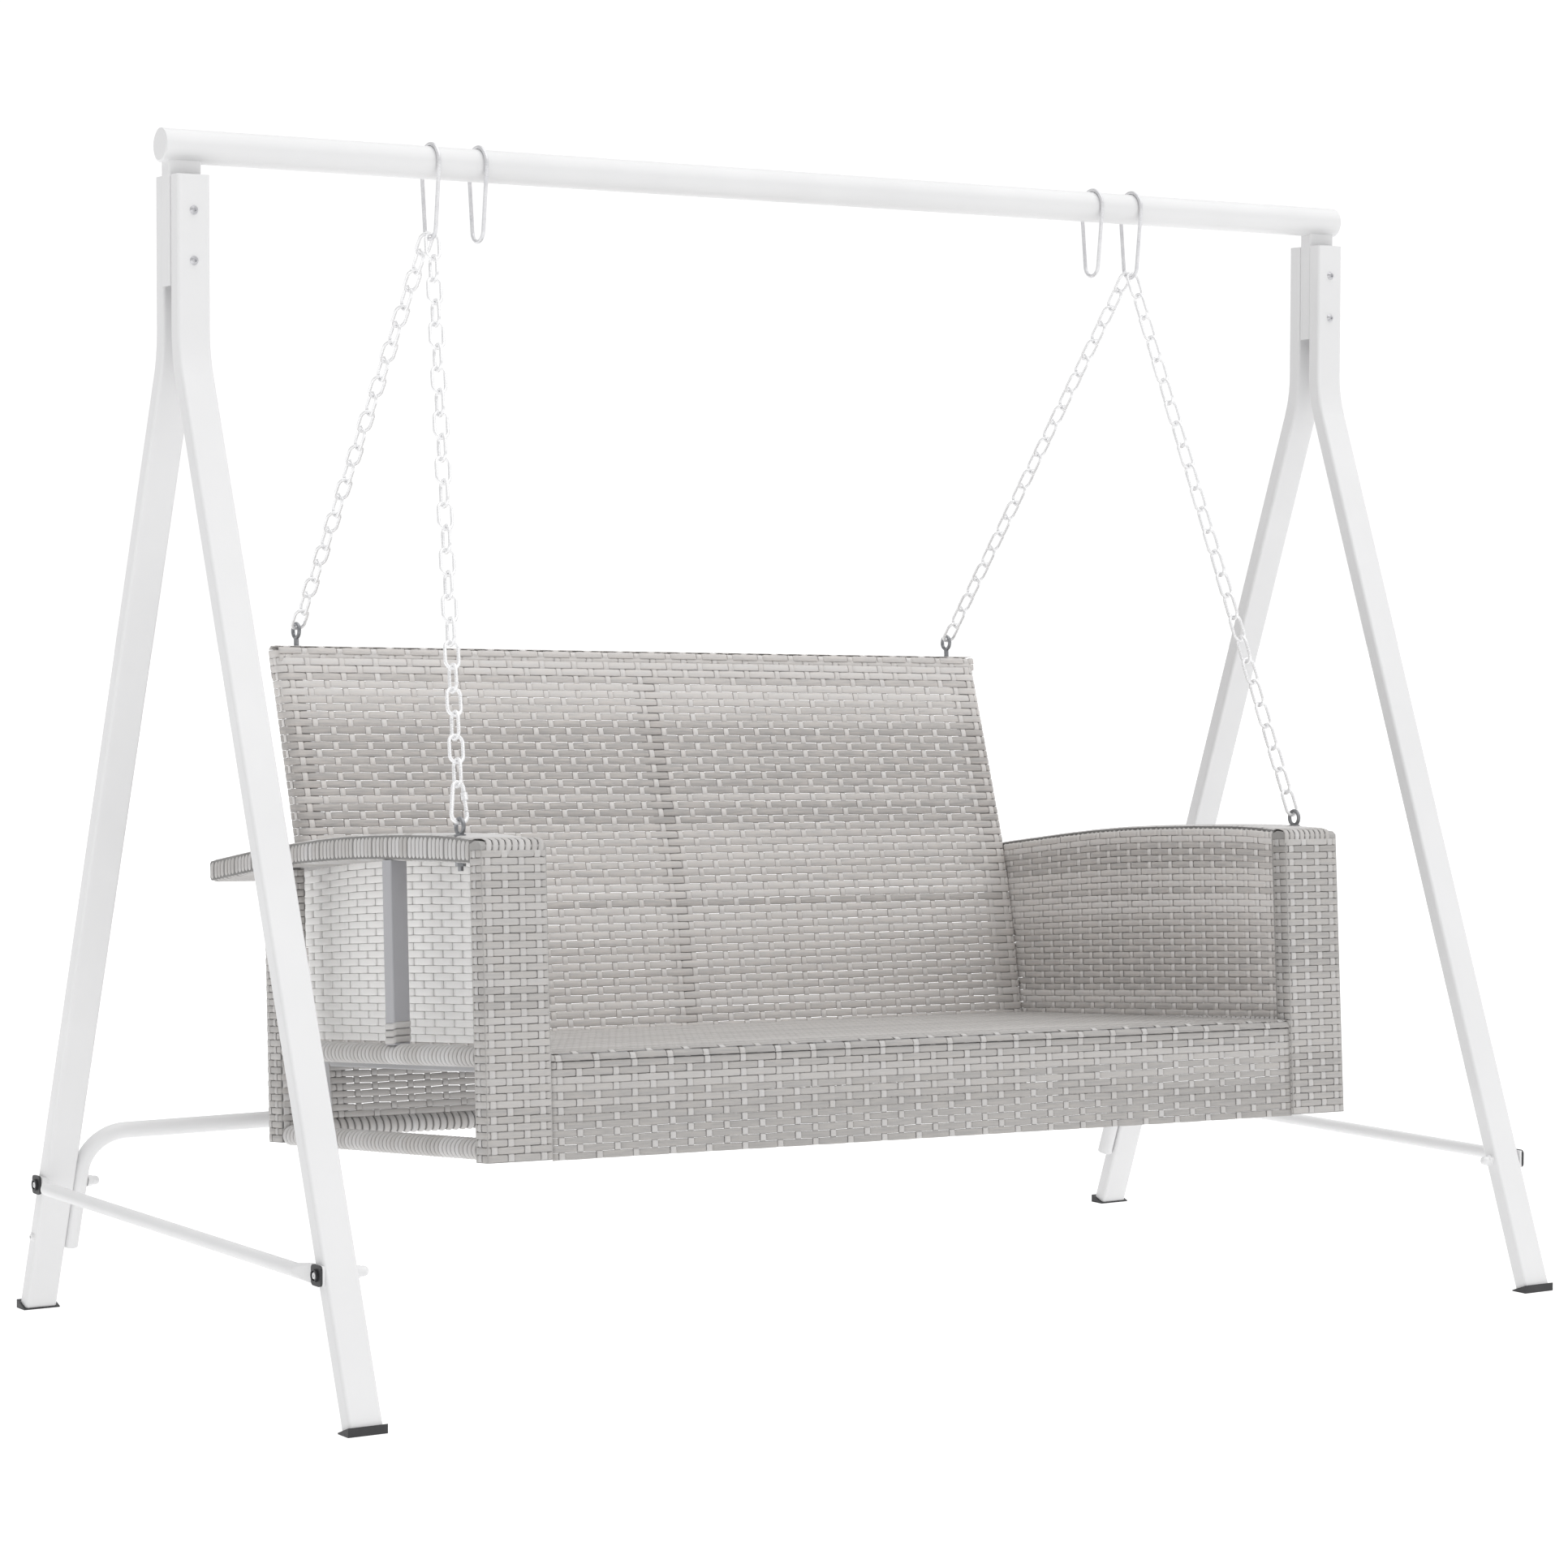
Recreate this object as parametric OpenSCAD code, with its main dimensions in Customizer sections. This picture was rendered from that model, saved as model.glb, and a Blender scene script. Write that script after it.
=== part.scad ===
// Hanging porch swing: woven bench on four chains under a tubular A-frame stand.
// Millimetres, +Z up, origin on the ground under the middle of the top beam.
// +X runs along the beam, -Y is the side the sitter faces.

/* [Stand] */
// Diameter of the top beam tube
beam_d = 48; // [44:1:52]
// Height of the top beam's axis above the ground
beam_z = 1717; // [1700:1:1740]
// Half length of the top beam tube, without its end caps
beam_half = 1058; // [1055:1:1100]
// Width of a leg tube along the beam
leg_w = 50; // [46:1:54]
// Depth of a leg tube across the beam
leg_t = 25; // [22:1:26]
// Distance from the middle to a leg's centre along the beam
leg_x = 1027.5; // [1020:0.5:1030]
// Angle of a leg's lower part from vertical
leg_angle = 20.24; // [19.5:0.01:21]
// Wall thickness of the steel tubes
wall = 1.6; // [1.2:0.1:2.2]
// Height of the side rails' axis
rail_z = 200; // [180:5:230]
// Diameter of the side rail tube
rail_d = 20; // [18:1:22]
// Diameter of the rear crossbar tube
cross_d = 25; // [22:1:26]

/* [Hanging gear] */
// Distance from the middle to a hook that carries the bench
hook_x = 638; // [600:1:700]
// Distance from the middle to a spare hook
spare_x = 560; // [500:1:590]
// Wire diameter of a beam hook
hook_wire = 6; // [5:0.5:6]
// Wire diameter of a chain link
link_wire = 5; // [4:0.5:5]
// Half width of a chain link at its wire's centreline
link_r = 10.5; // [9:0.1:11]

/* [Bench] */
// Recline of the whole bench
bench_tilt = 5.5; // [4:0.1:7]
// How far the bench hangs out of level, left end up
bench_sway = 1.37; // [0:0.01:2]
// Half width of the bench across the arms
bench_half = 760; // [755:1:770]
// Height of a front post above the bench's lowest front edge
post_h = 438; // [430:1:445]
// Width of a front post
post_w = 102; // [96:1:104]
// Depth of a front post
post_d = 33; // [32:1:36]
// Thickness of a woven skin
skin = 4; // [3:0.5:5]
// Gauge of the front seat beam's wall, heavier than the other tubes
beam_wall = 5; // [2:0.5:5]

/* [Hidden] */
$fn = 40;

white = [0.93, 0.93, 0.93];
grey = [0.68, 0.66, 0.64];
steel = [0.55, 0.56, 0.58];
black = [0.08, 0.08, 0.08];

post_half = 12.5;              // half depth of a beam post across the beam
leg_top = 1675.4;              // top end of each leg
bend_z = 1426;                 // height where the two straight parts of a leg's centreline meet
bend_r = 200;                  // bend radius of a leg
leg_y0 = post_half + leg_t/2;  // centreline of the vertical part
bend_t = bend_r*tan(leg_angle/2);
leg_run = 1512.5;              // length of the slanted part from the corner to its cut end
function leg_y(z) = leg_y0 + tan(leg_angle)*(bend_z - z);
hook_dz = 93;                  // from the beam's axis to the centre of a hook's lower bend
hook_r1 = beam_d/2 + hook_wire/2 + 0.3;
hook_r2 = 17;
pivot_z = beam_z - hook_dz;
bench_y = -412.4;
bench_z = 303.3;

// bench frame (u, v, w) to the part's frame
function level(p) = [p[0], bench_y + p[1]*cos(bench_tilt) + p[2]*sin(bench_tilt),
  bench_z - p[1]*sin(bench_tilt) + p[2]*cos(bench_tilt)];
// the bench hangs a little out of level, its left end higher: turned by bench_sway about this axis through sway_at
sway_axis = [0.5655, 0.82, -0.0882];
sway_at = [155.7, -100.0, 545.1];
function sway(q) = let (k = sway_axis/norm(sway_axis)) q*cos(bench_sway) + cross(k, q)*sin(bench_sway) + k*(k*q)*(1 - cos(bench_sway));
function world(p) = sway_at + sway(level(p) - sway_at);
module on_bench() { translate(sway_at) rotate(a = bench_sway, v = sway_axis) translate(-sway_at) translate([0, bench_y, bench_z]) rotate([-bench_tilt, 0, 0]) children(); }

// ---------- helpers ----------
module rrect(w, h, r) {
  union() {
    square([w - 2*r, h], center = true);
    square([w, h - 2*r], center = true);
    for (i = [-1, 1], j = [-1, 1]) translate([i*(w/2 - r), j*(h/2 - r)]) circle(r);
  }
}
module rect_section(w, h, r, t) { difference() { rrect(w, h, r); rrect(w - 2*t, h - 2*t, r > t ? r - t : 0.4); } }
module ring_section(d, t) { difference() { circle(d = d); circle(d = d - 2*t); } }
// tube along +X of length l from x0
module tube_x(x0, l, d, t) { translate([x0, 0, 0]) rotate([0, 90, 0]) linear_extrude(l) ring_section(d, t); }
module tube_y(y0, l, d, t) { translate([0, y0, 0]) rotate([-90, 0, 0]) linear_extrude(l) ring_section(d, t); }
module rod_y(y0, l, d) { translate([0, y0, 0]) rotate([-90, 0, 0]) cylinder(h = l, d = d); }
module rod_x(x0, l, d) { translate([x0, 0, 0]) rotate([0, 90, 0]) cylinder(h = l, d = d); }
// a profile drawn in (v, w) extruded along u between u0 and u1
module prism(u0, u1, pts) { translate([u0, 0, 0]) rotate([90, 0, 90]) linear_extrude(u1 - u0) polygon(pts); }
module hex_nut(d, h) { rotate([0, 0, 30]) cylinder(h = h, d = d, $fn = 6); }

// ---------- stand ----------
module top_beam() { color(white) translate([0, 0, beam_z]) tube_x(-beam_half, 2*beam_half, beam_d, 2); }
module beam_end_caps() {
  color(white) for (s = [-1, 1]) translate([s*beam_half, 0, beam_z]) rotate([0, s*90, 0]) {
    union() { cylinder(h = 3, d = beam_d); translate([0, 0, 3]) cylinder(h = 1.4, d1 = beam_d, d2 = beam_d - 6);
      translate([0, 0, -18]) difference() { cylinder(h = 18, d = beam_d - 4.4); translate([0, 0, -1]) cylinder(h = 16, d = beam_d - 9); } }
  }
}
module beam_post(s) {
  color(white) difference() {
    translate([s*1029.5, 0, 1521]) linear_extrude(190) rect_section(50, 2*post_half, 3, wall);
    translate([0, 0, beam_z]) rod_x(-1100, 2200, beam_d);
    for (z = [1625.6, 1555.7]) translate([s*leg_x, 0, z]) rod_y(-20, 40, 8.6);
  }
}
module leg_solid() {
  // front leg in the plane x = 0, front is -Y
  translate([0, -leg_y0, bend_z + bend_t]) linear_extrude(leg_top - bend_z - bend_t) rect_section(leg_w, leg_t, 4.5, wall);
  translate([0, -leg_y0 - bend_r, bend_z + bend_t]) rotate([0, 0, 90]) rotate([-90, 0, 0]) rotate([0, 0, 0])
    rotate_extrude(angle = leg_angle) translate([bend_r, 0]) rotate([0, 0, 90]) rect_section(leg_w, leg_t, 4.5, wall);
  translate([0, -leg_y0, bend_z]) rotate([-leg_angle, 0, 0]) translate([0, 0, -leg_run]) linear_extrude(leg_run - bend_t) rect_section(leg_w, leg_t, 4.5, wall);
}
module leg(s, f) {
  // f = 1 front, -1 rear
  color(white) translate([s*leg_x, 0, 0]) difference() {
    scale([1, 1, 1]) rotate([0, 0, f > 0 ? 0 : 180]) union() { leg_solid(); }
    for (z = [1625.6, 1555.7]) translate([0, 0, z]) rod_y(-45, 90, 8.6);
    translate([0, -f*leg_y(rail_z), rail_z]) rod_x(-40, 80, 8.6);
    if (f < 0) translate([0, leg_y(116), 116]) rod_x(-40, 80, 8.6);
  }
}
module foot_caps() {
  ye = leg_y0 + sin(leg_angle)*leg_run;
  ze = bend_z - cos(leg_angle)*leg_run;
  c = cos(leg_angle); n = sin(leg_angle);
  color(black) for (s = [-1, 1], f = [0, 180]) rotate([0, 0, f]) translate([s*leg_x, 0, 0]) union() {
    prism(-leg_w/2 - 4, leg_w/2 + 4, [[-ye - 17*c, 0], [-ye - 17*c, ze + 17*n], [-ye + 15*c, ze - 15*n], [-ye + 15*c, 0]]);
    translate([0, -ye, ze]) rotate([-leg_angle, 0, 0]) linear_extrude(24) rect_section(leg_w - 2*wall - 0.4, leg_t - 2*wall - 0.4, 2.6, 2);
  }
}
module rear_crossbar() {
  r = 62; xe = 990;
  zb = 277.3; yb = leg_y(zb);
  drop = (zb - 98)/cos(leg_angle);
  color(white) difference() {
    translate([0, yb, zb]) rotate([leg_angle, 0, 0]) union() {
      tube_x(-(xe - r), 2*(xe - r), cross_d, wall);
      for (s = [0, 1]) mirror([s, 0, 0]) {
        translate([xe - r, 0, -r]) rotate([90, 0, 0]) rotate_extrude(angle = 90) translate([r, 0]) ring_section(cross_d, wall);
        translate([xe, 0, -drop]) linear_extrude(drop - r) ring_section(cross_d, wall);
      }
    }
    translate([0, leg_y(rail_z), rail_z]) rod_x(-1010, 2020, 8.6);
    for (s = [-1, 1]) translate([s*1005, leg_y(116), 116]) rod_x(-15, 30, 8.6);
  }
}
module side_rail(s) {
  y0 = leg_y(rail_z); xr = leg_x + leg_w/2;
  color(white) translate([0, 0, rail_z]) mirror([s < 0 ? 1 : 0, 0, 0]) union() {
    translate([xr + rail_d/2, 0, 0]) tube_y(-(y0 - 50), 2*(y0 - 50), rail_d, wall);
    for (f = [0, 1]) mirror([0, f, 0]) {
      hull() {
        translate([xr + rail_d/2, y0 - 50, 0]) rod_y(0, 0.5, rail_d);
        translate([xr, y0 - 22.5, -13]) cube([4, 0.5, 26]);
      }
      difference() {
        translate([xr, y0 - 22, -13]) cube([4, 35, 26]);
        translate([xr, y0, 0]) rod_x(-5, 15, 8.6);
      }
    }
  }
}
module rail_end_covers() {
  xr = leg_x + leg_w/2 + 4;
  color(black) for (s = [0, 1], f = [-1, 1]) mirror([s, 0, 0]) translate([xr, f*leg_y(rail_z), rail_z]) rotate([0, 90, 0]) difference() {
    union() { linear_extrude(3.5) rrect(28, 28, 6); cylinder(h = 7, d = 17); }
    translate([0, 0, -1]) cylinder(h = 12, d = 8.6);
    translate([0, 0, 3]) cylinder(h = 12, d = 13.4);
  }
}
module button_bolt(len, hd, hh) {
  // head on z < 0, shank towards +Z from the bearing face at z = 0
  difference() {
    union() { translate([0, 0, -hh]) cylinder(h = hh, d1 = hd*0.62, d2 = hd); cylinder(h = len, d = 8); }
    translate([0, 0, -hh - 1]) cylinder(h = hh*0.6 + 1, d = 4.6, $fn = 6);
  }
}
module leg_bolts() {
  color(steel) for (s = [-1, 1], z = [1625.6, 1555.7]) translate([s*leg_x, -post_half - leg_t, z]) rotate([-90, 0, 0]) button_bolt(2*(post_half + leg_t) + 9, 13, 4);
}
module leg_bolt_nuts() {
  color(steel) for (s = [-1, 1], z = [1625.6, 1555.7]) translate([s*leg_x, post_half + leg_t, z]) rotate([-90, 0, 0]) difference() { union() { cylinder(h = 1.6, d = 16); translate([0, 0, 1.6]) hex_nut(14.6, 6.4); } translate([0, 0, -1]) cylinder(h = 20, d = 8.1); }
}
module rail_bolts() {
  color(white) for (s = [0, 1], f = [-1, 1]) mirror([s, 0, 0]) translate([leg_x + leg_w/2 + 7, f*leg_y(rail_z), rail_z]) rotate([0, -90, 0])
    button_bolt(f < 0 ? 67.5 : 94, 13, 3.6);
}
module rail_washers() {
  color(white) for (s = [0, 1]) mirror([s, 0, 0]) {
    translate([990 - cross_d/2 - 2, leg_y(rail_z), rail_z]) rotate([0, 90, 0]) difference() { cylinder(h = 2, d = 17); translate([0, 0, -1]) cylinder(h = 4, d = 8.6); }
    translate([leg_x - leg_w/2 - 1.6, -leg_y(rail_z), rail_z]) rotate([0, 90, 0]) difference() { cylinder(h = 1.6, d = 17); translate([0, 0, -1]) cylinder(h = 4, d = 8.6); }
  }
}
module acorn(d, h) {
  difference() {
    union() { cylinder(h = 6, d = d, $fn = 6); translate([0, 0, 6]) cylinder(h = h - 6 - d*0.42, d = d*0.84); translate([0, 0, h - d*0.42]) intersection() { sphere(d = d*0.84); cylinder(h = d, d = d); } }
    translate([0, 0, -1]) cylinder(h = h - 4, d = 8.1);
  }
}
module rail_cap_nuts() {
  color(white) for (s = [0, 1]) mirror([s, 0, 0]) {
    translate([leg_x - leg_w/2 - 1.6, -leg_y(rail_z), rail_z]) rotate([0, -90, 0]) acorn(17, 18);
    translate([990 - cross_d/2 - 2, leg_y(rail_z), rail_z]) rotate([0, -90, 0]) acorn(17, 18);
  }
}
module crossbar_lower_bolts() {
  color(white) for (s = [0, 1]) mirror([s, 0, 0]) translate([leg_x + leg_w/2, leg_y(116), 116]) rotate([0, -90, 0]) button_bolt(leg_w + 9, 13, 4);
}

// ---------- hooks ----------
// closed pear loop of wire in the plane x = 0, upper arc about the beam
module hook(x) {
  phi = asin((hook_r1 - hook_r2)/hook_dz);
  seg = sqrt(hook_dz*hook_dz - pow(hook_r1 - hook_r2, 2));
  color(steel) translate([x, 0, beam_z]) rotate([90, 0, 90]) union() {
    rotate([0, 0, -phi]) rotate_extrude(angle = 180 + 2*phi) translate([hook_r1, 0]) circle(d = hook_wire);
    translate([0, -hook_dz, 0]) rotate([0, 0, 180 + phi]) rotate_extrude(angle = 180 - 2*phi) translate([hook_r2, 0]) circle(d = hook_wire);
    for (m = [0, 1]) mirror([m, 0, 0]) translate([hook_r1*cos(phi), -hook_r1*sin(phi), 0]) rotate([0, 0, -phi]) rotate([90, 0, 0]) cylinder(h = seg, d = hook_wire + 0.02);
  }
}

// ---------- chains ----------
// one link in the plane y = 0, long axis along Z, centred
module link(p) {
  h = (p + 0.3)/2 + link_wire/2 - link_r;
  union() {
    for (m = [0, 180]) rotate([0, m, 0]) translate([0, 0, h]) rotate([90, 0, 0]) rotate_extrude(angle = 180) translate([link_r, 0]) circle(d = link_wire);
    for (x = [-1, 1]) translate([x*link_r, 0, -h]) cylinder(h = 2*h, d = link_wire + 0.02);
  }
}
// links from a to b (centres of the first and last link), n intervals, first link's plane holds the X axis
module chain(a, b, n) {
  d = b - a; l = norm(d); p = l/n;
  yaw = atan2(d[1], d[0]); inc = acos(d[2]/l);
  spin = atan2(-sin(yaw), cos(inc)*cos(yaw));
  translate(a) rotate([0, 0, yaw]) rotate([0, inc, 0]) rotate([0, 0, spin]) for (i = [0:n]) translate([0, 0, i*p]) rotate([0, 0, 90*(i % 2)]) link(p);
}
// centres of the rings the chains hang from and reach
eye_r = 11;
front_eye = [747, 84, 463];
rear_eye = [620, 852, 793];
function unit(v) = v/norm(v);
function along(a, b, t) = a + unit(b - a)*t;
top_gap = hook_r2 - hook_wire/2 - link_wire/2 - 1;
bot_gap = eye_r - 3 - link_wire/2 - 0.8;
function chain_eye(eye, s) = world([s*eye[0], eye[1], eye[2]]);
function chain_top(eye, s) = let (e = chain_eye(eye, s), dx = (s*e[0] - hook_x)/norm(e - [s*hook_x, 0, pivot_z])) [s*(hook_x - hook_r2*dx), 0, pivot_z];
module chain_to(eye, s, n, extra) {
  a = chain_top(eye, s); b = chain_eye(eye, s);
  p = (norm(b - a) - top_gap - bot_gap - extra - 0.3 - link_wire)/(n + 1);
  half_link = (p + 0.3 + link_wire)/2;
  color(white) chain(along(a, b, top_gap + half_link), along(b, a, bot_gap + half_link + extra), n);
}
cara_len = 53;   // inside length of the carabiner
cara_wire = 6;
cara_off = eye_r - 3 - cara_wire/2 - 0.3;
cara_total = cara_off + cara_wire/2 + cara_len - 0.3 - link_wire/2;
module left_front_chain() { chain_to(front_eye, -1, 23, cara_total - bot_gap); }
module right_front_chain() { chain_to(front_eye, 1, 24, 0); }
module left_rear_chain() { chain_to(rear_eye, -1, 22, 0); }
module right_rear_chain() { chain_to(rear_eye, 1, 22, 0); }

// carabiner drawn in the plane y = 0: bottom crown of radius 12 at z = 0, top crown of radius 8
cara_r1 = 12; cara_r2 = 8;
cara_d = cara_len + cara_wire - cara_r1 - cara_r2;
cara_phi = asin((cara_r1 - cara_r2)/cara_d);
cara_seg = sqrt(cara_d*cara_d - pow(cara_r1 - cara_r2, 2));
module at_carabiner() {
  a = chain_top(front_eye, -1); b = chain_eye(front_eye, -1);
  d = unit(a - b); o = b + d*cara_off;
  yaw = atan2(d[1], d[0]); inc = acos(d[2]);
  spin = atan2(-sin(yaw), cos(inc)*cos(yaw));
  translate(o) rotate([0, 0, yaw]) rotate([0, inc, 0]) rotate([0, 0, spin]) translate([0, 0, cara_r1]) children();
}
module gate_leg(z0, z1, d) { translate([cara_r1*cos(cara_phi), 0, cara_r1*sin(cara_phi)]) rotate([0, -cara_phi, 0]) translate([0, 0, z0]) cylinder(h = z1 - z0, d = d); }
module carabiner_body() {
  color(steel) at_carabiner() union() {
    rotate([90, 0, 0]) rotate([0, 0, 180 - cara_phi]) rotate_extrude(angle = 180 + 2*cara_phi) translate([cara_r1, 0]) circle(d = cara_wire);
    translate([0, 0, cara_d]) rotate([90, 0, 0]) rotate([0, 0, cara_phi]) rotate_extrude(angle = 180 - 2*cara_phi) translate([cara_r2, 0]) circle(d = cara_wire);
    mirror([1, 0, 0]) gate_leg(0, cara_seg, cara_wire + 0.02);
    gate_leg(0, 4, cara_wire + 0.02);
    gate_leg(cara_seg - 6, cara_seg, cara_wire + 0.02);
  }
}
module carabiner_gate() { color(steel) at_carabiner() gate_leg(5.3, cara_seg - 6.3, 5.4); }
module carabiner_sleeve() {
  color(steel) at_carabiner() difference() { gate_leg(cara_seg - 18, cara_seg - 7, 9.6); gate_leg(cara_seg - 19, cara_seg - 6, 6.6); }
}

// ---------- bench ----------
// front face of the backrest at height w
function bv(w) = 706 + 0.12*(w - 154) + 0.0725*((w - 390) + sqrt((w - 390)*(w - 390) + 3600));
function span(w0, w1, n) = [for (i = [0:n]) w0 + (w1 - w0)*i/n];
function sheet_pts(w0, w1, n, f, r) = concat([for (w = span(w0, w1, n)) [bv(w) + f, w]], [for (w = span(w1, w0, n)) [bv(w) + r, w]]);
arm_in = 662.5;
back_half = 661;
rail_r = 12.5;
seat_top_f = 146; seat_top_r = 154;
function seat_z(v) = seat_top_f + (seat_top_r - seat_top_f)*v/706;

module seat_front_beam() {
  color(steel) on_bench() translate([-632.4, 3 + skin + 12.5, 120.5]) rotate([90, 0, 90]) linear_extrude(1264.8) rect_section(25, 40, 3, beam_wall);
}
module seat_rear_rail() { color(steel) on_bench() translate([-632.4, 678.5, 131]) rotate([90, 0, 90]) linear_extrude(1264.8) rect_section(25, 25, 3, wall); }
module seat_side_rails() { color(steel) on_bench() for (s = [0, 1]) mirror([s, 0, 0]) translate([645, 7.2, 128]) rotate([-90, 0, 0]) linear_extrude(683) rect_section(24.6, 24, 3, wall); }
module seat_cross_supports() { color(steel) on_bench() for (x = [-330, 0, 330]) translate([x, 32.2, 128]) rotate([-90, 0, 0]) linear_extrude(633.6) rect_section(25, 24, 3, wall); }
module seat_weave() { color(grey) on_bench() prism(-657.5, 657.5, [[3, seat_z(3)], [3, seat_z(3) - skin], [703, seat_z(703) - skin], [703, seat_z(703)]]); }
module front_apron() { color(grey) on_bench() prism(-656.5, 656.5, [[3, -2], [3 + skin, -2], [3 + skin, seat_z(3) - skin - 0.2], [3, seat_z(3) - skin - 0.2]]); }
module rear_apron() { color(grey) on_bench() prism(-652, 652, sheet_pts(37, seat_z(703) - skin - 1, 4, 0, skin)); }
module back_weave() {
  color(grey) on_bench() prism(-back_half, back_half, concat(
    [for (w = span(seat_z(706) + 1, 761, 16)) [bv(w), w]],
    [[bv(765) + 4, 766], [bv(765) + 30, 766], [bv(761) + 34, 761]],
    [[bv(715) + 34, 715], [bv(715) + 34 - skin, 715], [bv(762) + 34 - skin, 762]],
    [for (w = span(762, seat_z(706) + 1, 16)) [bv(w) + skin, w]]));
}
module back_top_rail() { color(steel) on_bench() difference() {
  prism(-648, 648, [[bv(736) + skin + 0.3, 736], [bv(736) + 29, 736], [bv(761) + 29, 761], [bv(761) + skin + 0.3, 761]]);
  prism(-660, 660, [[bv(738) + skin + 2, 738], [bv(738) + 27, 738], [bv(759) + 27, 759], [bv(759) + skin + 2, 759]]); } }
module back_stiles() { color(steel) on_bench() for (x = [-636, 0, 636]) difference() {
  prism(x - 12.5, x + 12.5, sheet_pts(38, 735.8, 14, skin + 0.3, skin + 25));
  prism(x - 10.9, x + 10.9, sheet_pts(30, 745, 14, skin + 1.9, skin + 23.4)); } }
module back_bottom_rail() { color(grey) on_bench() translate([0, bv(24) + 12.5, 24]) tube_x(-654, 1308, 25, 1.8); }
module front_post(s) {
  u0 = bench_half - post_w;
  color(grey) on_bench() mirror([s < 0 ? 1 : 0, 0, 0]) difference() {
    prism(u0, bench_half, [[0, 0], [post_d, 0], [post_d, 404], [post_d, post_h - 1], [20, post_h + 3], [6, post_h + 1], [0, post_h - 4]]);
    translate([u0 + skin, skin, -1]) cube([post_w - 2*skin, post_d - 2*skin, 421]);
  }
}
module front_post_tubes() { color(steel) on_bench() for (s = [0, 1], x = [675, 743]) mirror([s, 0, 0]) translate([x, post_d/2, 4]) linear_extrude(415.6) rect_section(23, 23, 3, 2.5); }
arm_up = [[33.2, 443], [80, 448], [140, 452], [234, 455.5], [330, 457.5], [419, 458], [500, 456.5], [585, 453], [660, 449], [737, 445], [820, 439], [880, 434.5]];
arm_dn = [[884, 431], [884, 409], [880, 405], [800, 411], [730, 416], [650, 420.5], [571, 424], [479, 425.5], [400, 425.5], [310, 424], [220, 420.5], [130, 417], [33.2, 412]];
arm_in_up = [[38, 439], [140, 447.5], [234, 451], [419, 453.5], [585, 448.5], [737, 440.5], [878, 430]];
arm_in_dn = [[878, 410], [730, 420.5], [571, 428.5], [479, 430], [400, 430], [220, 425], [38, 417]];
module arm_top(s) {
  color(grey) on_bench() mirror([s < 0 ? 1 : 0, 0, 0]) difference() {
    prism(arm_in, bench_half, concat(arm_up, arm_dn));
    prism(arm_in + skin, bench_half - skin, concat(arm_in_up, arm_in_dn));
    translate([747, 84, 400]) cylinder(h = 80, d = 8.6);
  }
}
module arm_panel(s) {
  color(grey) on_bench() mirror([s < 0 ? 1 : 0, 0, 0]) prism(665.5, 670.5,
    [[33.2, 158], [bv(158) - 12, 158], [bv(200), 200], [bv(300), 300], [bv(400) - 2, 400], [728, 416], [650, 420.2], [571, 423.7], [479, 425.2], [400, 425.2], [310, 423.7], [220, 420.2], [130, 416.7], [33.2, 411.7]]);
}
module side_mid_rails() { color(grey) on_bench() for (s = [0, 1]) mirror([s, 0, 0]) translate([747, 0, 145]) tube_y(post_d + 0.2, 645 - post_d - 0.4, 25, 1.8); }
module side_bottom_rails() { color(grey) on_bench() for (s = [0, 1]) mirror([s, 0, 0]) translate([747, 0, 18]) tube_y(post_d + 0.2, 645 - post_d - 0.4, 25, 1.8); }
module rear_column(s) {
  color(grey) on_bench() mirror([s < 0 ? 1 : 0, 0, 0]) difference() {
    translate([715, 645, 7]) cube([bench_half - 715, 45, 410.5]);
    translate([715 + skin, 645 + skin, 6]) cube([bench_half - 715 - 2*skin, 45 - 2*skin, 406.5]);
  }
}
module arm_braces() { color(steel) on_bench() for (s = [0, 1]) mirror([s, 0, 0]) translate([747, 285, 157.7]) linear_extrude(264) rect_section(26, 28, 2, wall); }
module arm_frame_tubes() { color(steel) on_bench() for (s = [0, 1], x = [680, 722]) mirror([s, 0, 0]) translate([x, 60, 435]) rotate([-90, 0, 0]) linear_extrude(640) rect_section(10, 6, 1, 1.2); }
module eyebolt(len, fl) {
  union() {
    rotate([0, 90, 0]) rotate_extrude() translate([eye_r, 0]) circle(d = 6);
    translate([0, 0, -len]) cylinder(h = len - eye_r, d = 8);
    translate([0, 0, -fl]) cylinder(h = 3, d = 17);
  }
}
module eyebolts() {
  color([0.35, 0.36, 0.38]) on_bench() for (s = [0, 1]) mirror([s, 0, 0]) {
    translate(front_eye) eyebolt(62, 14);
    translate(rear_eye) eyebolt(26.8, 26.8);
  }
}
module eyebolt_nuts() {
  color([0.35, 0.36, 0.38]) on_bench() for (s = [0, 1]) mirror([s, 0, 0]) {
    translate([747, 84, 407.6]) difference() { hex_nut(15, 6.5); translate([0, 0, -1]) cylinder(h = 10, d = 8.1); }
  }
}

top_beam();
beam_end_caps();
beam_post(-1);  // left_beam_post
beam_post(1);  // right_beam_post
leg(-1, 1);  // left_front_leg
leg(1, 1);  // right_front_leg
leg(-1, -1);  // left_rear_leg
leg(1, -1);  // right_rear_leg
foot_caps();
rear_crossbar();
side_rail(-1);  // left_side_rail
side_rail(1);  // right_side_rail
rail_end_covers();
leg_bolts();
leg_bolt_nuts();
rail_bolts();
rail_cap_nuts();
rail_washers();
crossbar_lower_bolts();
hook(-hook_x);  // left_swing_hook
hook(hook_x);  // right_swing_hook
hook(-spare_x);  // left_spare_hook
hook(spare_x);  // right_spare_hook
left_front_chain();
right_front_chain();
left_rear_chain();
right_rear_chain();
carabiner_body();
carabiner_gate();
carabiner_sleeve();
seat_front_beam();
seat_rear_rail();
seat_side_rails();
seat_cross_supports();
seat_weave();
front_apron();
rear_apron();
back_top_rail();
back_stiles();
back_weave();
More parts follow.
